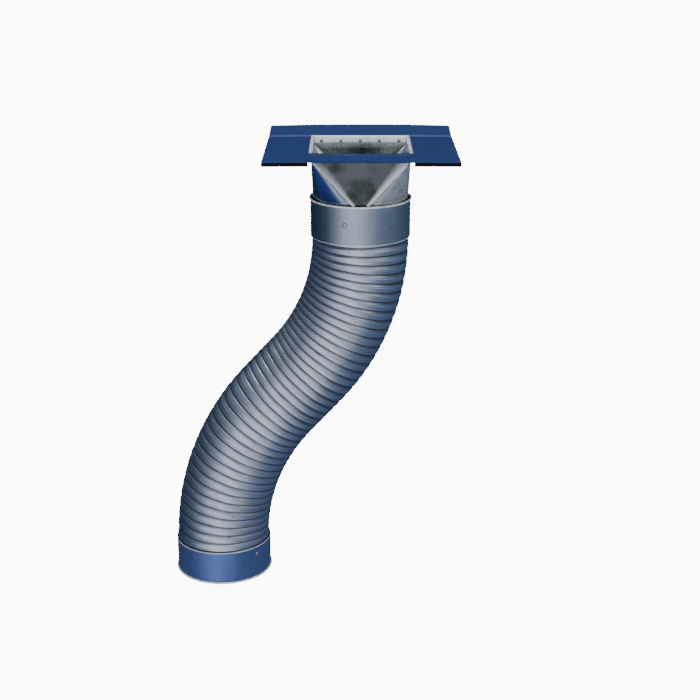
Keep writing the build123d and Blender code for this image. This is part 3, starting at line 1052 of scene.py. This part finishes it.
@dataclass
class Corrugation:
    """The shape of the duct's wall: broad ribs between narrow grooves, with a fine line beside each."""

    crest: float = 61.85 * MM
    groove_depth: float = 0.95 * MM
    groove_half: float = 2.1 * MM
    crown: float = 0.75 * MM
    fine_depth: float = 0.14 * MM
    fine_at: float = 3.4 * MM
    fine_half: float = 0.6 * MM

    def radius(self, from_groove: float, pitch: float) -> float:
        """The wall's radius at a distance from the nearest groove."""
        sunk = 0.0
        if from_groove < self.groove_half:
            sunk = self.groove_depth * cos(pi / 2 * from_groove / self.groove_half) ** 2
        off = abs(from_groove - self.fine_at)
        if off < self.fine_half:
            sunk += self.fine_depth * cos(pi / 2 * off / self.fine_half)
        share = from_groove / (pitch / 2)
        return self.crest - self.crown * (1 - share) ** 2 - sunk

    def shade(self, distance: float, pitch: float) -> float:
        """The painted shade at a distance along the wall: most in a groove, less beside it."""
        near = abs((distance + pitch / 2) % pitch - pitch / 2)
        return max(0.0, 1.0 - near / (1.6 * self.groove_half))

    def samples(self, pitch: float) -> list[float]:
        """Distances from one groove to the next at which the wall is drawn."""
        half = [0.0, 0.4, 0.8, 1.2, 1.55, 1.9, 2.4, 2.8, 3.1, 3.4, 3.7, 4.0, 4.6]
        half = [value * MM for value in half] + [pitch / 2]
        return half + [pitch - value for value in reversed(half[1:-1])]

    def profile(self, start: float, ribs: int, pitch: float) -> list[tuple[float, float]]:
        """(radius, distance) along a number of ribs from one groove."""
        points = []
        for rib in range(ribs):
            for value in self.samples(pitch):
                near = min(value, pitch - value)
                points.append((self.radius(near, pitch), start + rib * pitch + value))
        points.append((self.radius(0.0, pitch), start + ribs * pitch))
        return points


@dataclass
class CorrugatedDuct:
    """The S-bent duct: one skin in thirteen lengths, which meet in grooves and bend over the hinges."""

    wall: float = 0.5 * MM
    steps: int = 96
    ribs_per_length: int = 3
    middle_ribs: int = 5
    hidden_ribs: int = 2
    calm_end: float = 0.68
    wall_shape: Corrugation = field(default_factory=Corrugation)

    def build(self) -> list[Object]:
        """Build every length of the duct from the hinges in the record.

        Returns:
            The lengths, from the top collar down.
        """
        joints = frame["record"]["behaviour"]["joints"]
        nodes = frame["record"]["behaviour"]["bodies"]
        hinges = [Vector(joint["pos_m"]) for joint in joints]
        down = Vector((0.0, 0.0, -1.0))
        ways = [down] + [(b - a).normalized() for a, b in zip(hinges, hinges[1:])] + [down]
        half = len(hinges) // 2
        upper = (hinges[1] - hinges[0]).length / 2
        lower = (hinges[-1] - hinges[-2]).length / 2
        reaches = [upper] * half + [lower] * half
        made = []
        for number, (joint, hinge, reach) in enumerate(zip(joints, hinges, reaches)):
            above, below = ways[number:number + 2]
            turn = above.angle(below) * joint["axis"][1]
            length = abs(turn) * reach / tan(abs(turn) / 2)
            arc = Run(hinge - above * reach, above, length, turn)
            first = number == 0
            before = self.hidden_ribs * first
            after = self.hidden_ribs * (number == len(hinges) - 1)
            bm = self._length(arc, self.ribs_per_length, before, after)
            piece = to_object(bm, f"duct_length_{number + 1:02d}", DUCT_SHEET.material())
            bodies = (joint["parent"], joint["child"])
            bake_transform(piece)
            shown = bodies if first else bodies[1:]
            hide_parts(*(name for body in shown for name in nodes[body] if name.startswith("duct_")))
            LOG.info("%s: %d faces, %s to %s", piece.name, len(piece.data.polygons), *bodies)
            made.append(piece)
        start = hinges[half - 1] + ways[half] * upper
        end = hinges[half] - ways[half] * lower
        run = Run(start, ways[half], (end - start).length)
        bm = self._length(run, self.middle_ribs, 0, 0)
        made.append(add_piece(bm, "duct_length_middle", DUCT_SHEET, joints[half]["parent"]))
        return made

    def _length(self, run: Run, ribs: int, before: int, after: int) -> BMesh:
        """Make one length of corrugated tube and lay it on its stretch of the centre line.

        Args:
            run: its stretch of the centre line.
            ribs: how many ribs the stretch holds.
            before: extra ribs before it, hidden in the top collar.
            after: extra ribs after it, hidden in the outlet collar.

        Returns:
            The length as a mesh.
        """
        pitch = run.length / ribs
        shape = self.wall_shape
        points = shape.profile(-before * pitch, before + ribs + after, pitch)
        bm = spin_profile(points, self.steps, closed=False)
        wrap_uv(bm, shape.crest)
        # Painted shade in and beside each groove.
        paint(bm, "painted_shade", lambda co: shape.shade(co.z, pitch))
        thicken(bm, self.wall, out_from_axis)
        close_and_shade(bm)
        for vert in bm.verts:
            vert.co = run.place(hypot(vert.co.x, vert.co.y), atan2(vert.co.y, vert.co.x), vert.co.z)
        bmesh.ops.recalc_face_normals(bm, faces=bm.faces)
        return bm


# ------------------------------------------------------------------ fixings
@dataclass
class Fixings:
    """Every rivet: round both collars, round the neck and down the throat's side seams."""

    lap: SeamLap
    collar_outer: float = 63.5 * MM
    collar_grip: float = 4.4 * MM
    neck_grip: float = 1.65 * MM
    neck_inner: float = 59.55 * MM
    neck_pitch: float = 25.0 * MM
    neck_depth: float = 4.8 * MM
    top_depth: float = 24.0 * MM
    top_angle: float = -108.0
    outlet_depth: float = 10.0 * MM
    outlet_angle: float = -42.0
    seam_rows: int = 3
    seam_first: float = 13.0 * MM
    seam_pitch: float = 15.9 * MM
    small_shank: float = 1.15 * MM
    small_stem: float = 0.6 * MM
    small_tail: float = 1.7 * MM

    def build(self) -> None:
        """Build the four groups of rivets."""
        self._collar("top_collar", "flange_and_throat", self.top_depth, self.top_angle)
        self._collar("outlet_collar", "outlet", self.outlet_depth, self.outlet_angle)
        self._neck()
        self._seams()

    def _collar(self, collar: str, body: str, depth: float, first: float) -> None:
        """Three rivets round a collar."""
        low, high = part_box(collar)
        centre = Vector(((low.x + high.x) / 2, 0.0, high.z - depth))
        places = []
        for number in range(3):
            turn = radians(first + 120 * number)
            outward = Vector((cos(turn), sin(turn), 0.0))
            places.append((centre + outward * self.collar_outer, outward))
        BlindRivet().build(f"{collar}_rivets", body, places, self.collar_grip)

    def _small(self, name: str, places: list, head: float, rise: float) -> None:
        """A group of small rivets that hold two sheets of the flange and throat."""
        rivet = BlindRivet(head, rise, self.small_shank, self.small_stem, self.small_tail)
        rivet.build(name, "flange_and_throat", places, self.neck_grip)

    def _neck(self) -> None:
        """Small rivets through the neck and the plate's turned-down edge, heads inside."""
        drop = Vector((0.0, 0.0, self.neck_depth))
        places = []
        for side in range(4):
            outward = Vector((round(cos(side * pi / 2)), round(sin(side * pi / 2)), 0.0))
            along = Vector((-outward.y, outward.x, 0.0))
            for step in (-2, -1, 0, 1, 2) if side % 2 else (-2, -1, 1, 2):
                seat = outward * self.neck_inner + along * (step * self.neck_pitch)
                places.append((seat - drop, -outward))
        self._small("neck_rivets", places, 2.3 * MM, 0.8 * MM)

    def _seams(self) -> None:
        """Small rivets down the two side laps, heads outside."""
        lap = self.lap
        places = []
        for side in (-1, 1):
            for row in range(self.seam_rows):
                z = -self.seam_first - (row + 0.5) * self.seam_pitch
                seat = Vector((side * (lap.face_x(z) + lap.sheet), lap.high_y / 2, z))
                places.append((seat, Vector((side, 0.0, 0.0))))
        self._small("throat_seam_rivets", places, 2.2 * MM, 0.55 * MM)


# ------------------------------------------------------------------ studio
@dataclass(frozen=True)
class Tint:
    """A colour that the mirrored room has in one part: how much of it, by height and by side."""

    colour: tuple[float, float, float]
    heights: tuple[float, float, float]
    sides: tuple[float, float, float]

    def lay(self, tree: Tree, room: NodeSocket, way: Node) -> NodeSocket:
        """Mix the colour into the room, and return the room."""
        low, high, most = self.heights
        share = tree.remap(way.outputs["Z"], low, high, 0.0, most)
        start, end, least = self.sides
        share = tree.math("MULTIPLY", share, tree.remap(way.outputs["X"], start, end, least, 1.0))
        return tree.mix(share, room, (*self.colour, 1.0))


ROOM = (
    (-180, (0.008, 0.025, 0.075)),
    (-138, (0.012, 0.035, 0.08)),
    (-112, (0.022, 0.05, 0.085)),
    (-86, (0.06, 0.09, 0.135)),
    (-58, (0.30, 0.35, 0.45)),
    (-38, (0.78, 0.80, 0.95)),
    (-12, (1.05, 1.05, 1.22)),
    (10, (0.68, 0.72, 0.84)),
    (38, (0.31, 0.37, 0.48)),
    (72, (0.20, 0.26, 0.34)),
    (112, (0.10, 0.14, 0.21)),
    (146, (0.045, 0.08, 0.15)),
    (180, (0.008, 0.025, 0.075)),
)
TINTS = (
    Tint((1.15, 1.17, 1.24), (0.42, 1.0, 0.7), (-0.75, 0.0, 0.25)),
    Tint((0.028, 0.042, 0.27), (-0.5, -0.72, 1.0), (-0.25, -0.5, 0.0)),
    Tint((0.05, 0.09, 0.20), (-0.1, -0.55, 0.75), (0.3, 0.8, 0.0)),
    Tint((0.22, 0.27, 0.34), (0.08, 0.5, 0.75), (-0.15, -0.6, 0.0)),
)


@dataclass
class Studio:
    """A pale floor, soft lights, a soft room for reflections, and the camera."""

    focal: float = 73.3
    sensor: float = 36.0
    camera_place: tuple[float, float, float] = (-0.0132, -1.770, 0.326)
    pitch: float = 18.6
    aim: tuple[float, float, float] = (-0.05, 0.0, -0.25)
    floor_gap: float = 60 * MM
    floor_half: float = 6.0
    floor_colour: float = 0.93
    floor_glow: float = 10.0
    room_light: float = 0.95
    background: float = 11.0

    def build(self, low: Vector) -> None:
        """Set up the floor, the lights, the room and the camera."""
        self._floor(low.z - self.floor_gap)
        self._lights()
        self._room()
        self._camera()

    def _floor(self, height: float) -> None:
        """A plain pale floor, which metal doesn't mirror."""
        bm = bmesh.new()
        bmesh.ops.create_grid(bm, x_segments=4, y_segments=4, size=self.floor_half)
        bmesh.ops.translate(bm, verts=bm.verts, vec=(0, 0, height))
        made = bpy.data.materials.new("pale_floor")
        made.use_nodes = True
        tree = Tree(made.node_tree)
        shader = made.node_tree.nodes["Principled BSDF"]
        shader.inputs["Base Color"].default_value = (*(self.floor_colour,) * 3, 1.0)
        shader.inputs["Roughness"].default_value = 0.9
        shader.inputs["Emission Color"].default_value = (1.0, 1.0, 1.0, 1.0)
        camera_ray = tree.node("ShaderNodeLightPath").outputs["Is Camera Ray"]
        tree.feed(shader.inputs["Emission Strength"], tree.math("MULTIPLY", camera_ray, self.floor_glow))
        floor = to_object(bm, "floor", made)
        floor.visible_glossy = False
        floor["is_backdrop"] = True

    def _lights(self) -> None:
        """A large soft key from the front left, a weak fill from the right and a top light."""
        for name, place, size, power in (
            ("key", (-1.2, -2.0, 1.9), 1.4, 26.0),
            ("fill", (1.9, -1.5, 1.0), 1.8, 8.0),
            ("top", (0.1, 0.5, 2.0), 1.6, 16.0),
        ):
            lamp = bpy.data.lights.new(name, "AREA")
            lamp.size = size
            lamp.energy = power
            made = add_object(name, lamp)
            made.location = place
            way = Vector(self.aim) - Vector(place)
            made.rotation_euler = way.to_track_quat("-Z", "Y").to_euler()
            made.visible_glossy = name != "key"

    def _room(self) -> None:
        """A pale room to the eye; metal mirrors a bright panel, grey-blue walls and a navy backdrop."""
        world = bpy.data.worlds.new("soft_room")
        bpy.context.scene.world = world
        world.use_nodes = True
        world.node_tree.nodes.clear()
        tree = Tree(world.node_tree)
        way = tree.node("ShaderNodeSeparateXYZ")
        tree.feed(way.inputs[0], tree.node("ShaderNodeTexCoord").outputs["Generated"])
        away = tree.math("MULTIPLY", way.outputs["Y"], -1.0)
        azimuth = tree.math("ARCTAN2", way.outputs["X"], away)
        ramp = tree.node("ShaderNodeValToRGB")
        tree.feed(ramp.inputs[0], tree.math("ADD", tree.math("DIVIDE", azimuth, 2 * pi), 0.5))
        stops = ramp.color_ramp.elements
        while len(stops) < len(ROOM):
            stops.new(0.5)
        for stop, (angle, colour) in zip(stops, ROOM):
            stop.position = angle / 360 + 0.5
            stop.color = (*colour, 1.0)
        mirrored = ramp.outputs["Color"]
        for tint in TINTS:
            mirrored = tint.lay(tree, mirrored, way)
        rays = tree.node("ShaderNodeLightPath")
        pale = (*(self.room_light,) * 3, 1.0)
        backdrop = (*(self.background,) * 3, 1.0)
        seen = tree.mix(rays.outputs["Is Camera Ray"], pale, backdrop)
        seen = tree.mix(rays.outputs["Is Glossy Ray"], seen, mirrored)
        shader = tree.node("ShaderNodeBackground")
        tree.feed(shader.inputs["Color"], seen)
        shader.inputs["Strength"].default_value = 1.0
        tree.feed(tree.node("ShaderNodeOutputWorld").inputs["Surface"], shader.outputs[0])

    def _camera(self) -> None:
        """The camera, a little above the flange and looking down at the whole duct."""
        lens = bpy.data.cameras.new("camera")
        lens.lens = self.focal
        lens.sensor_width = self.sensor
        lens.clip_end = 50.0
        made = add_object("camera", lens)
        made.location = self.camera_place
        made.rotation_euler = (radians(90 - self.pitch), 0.0, 0.0)
        bpy.context.scene.camera = made


def main() -> None:
    """Build every sub-assembly in order."""
    logging.basicConfig(level=logging.INFO, format="%(name)s: %(message)s")
    cad_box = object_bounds()
    Studio().build(cad_box[0])
    FlangePlate().build()
    throat = Throat()
    throat.build_half("throat_front_half", -1)
    throat.build_half("throat_rear_half", 1)
    lap = SeamLap(throat)
    lap.build()
    Collar("top_collar", "flange_and_throat", GREY_SHEET, BeadEnd.TOP).build()
    BackingRing("spigot_band", "flange_and_throat").build()
    CorrugatedDuct().build()
    Collar("outlet_collar", "outlet", BLUE_COLLAR, BeadEnd.BOTTOM).build()
    BackingRing("outlet_sleeve", "outlet").build()
    Fixings(lap).build()


if __name__ == "__main__":
    main()
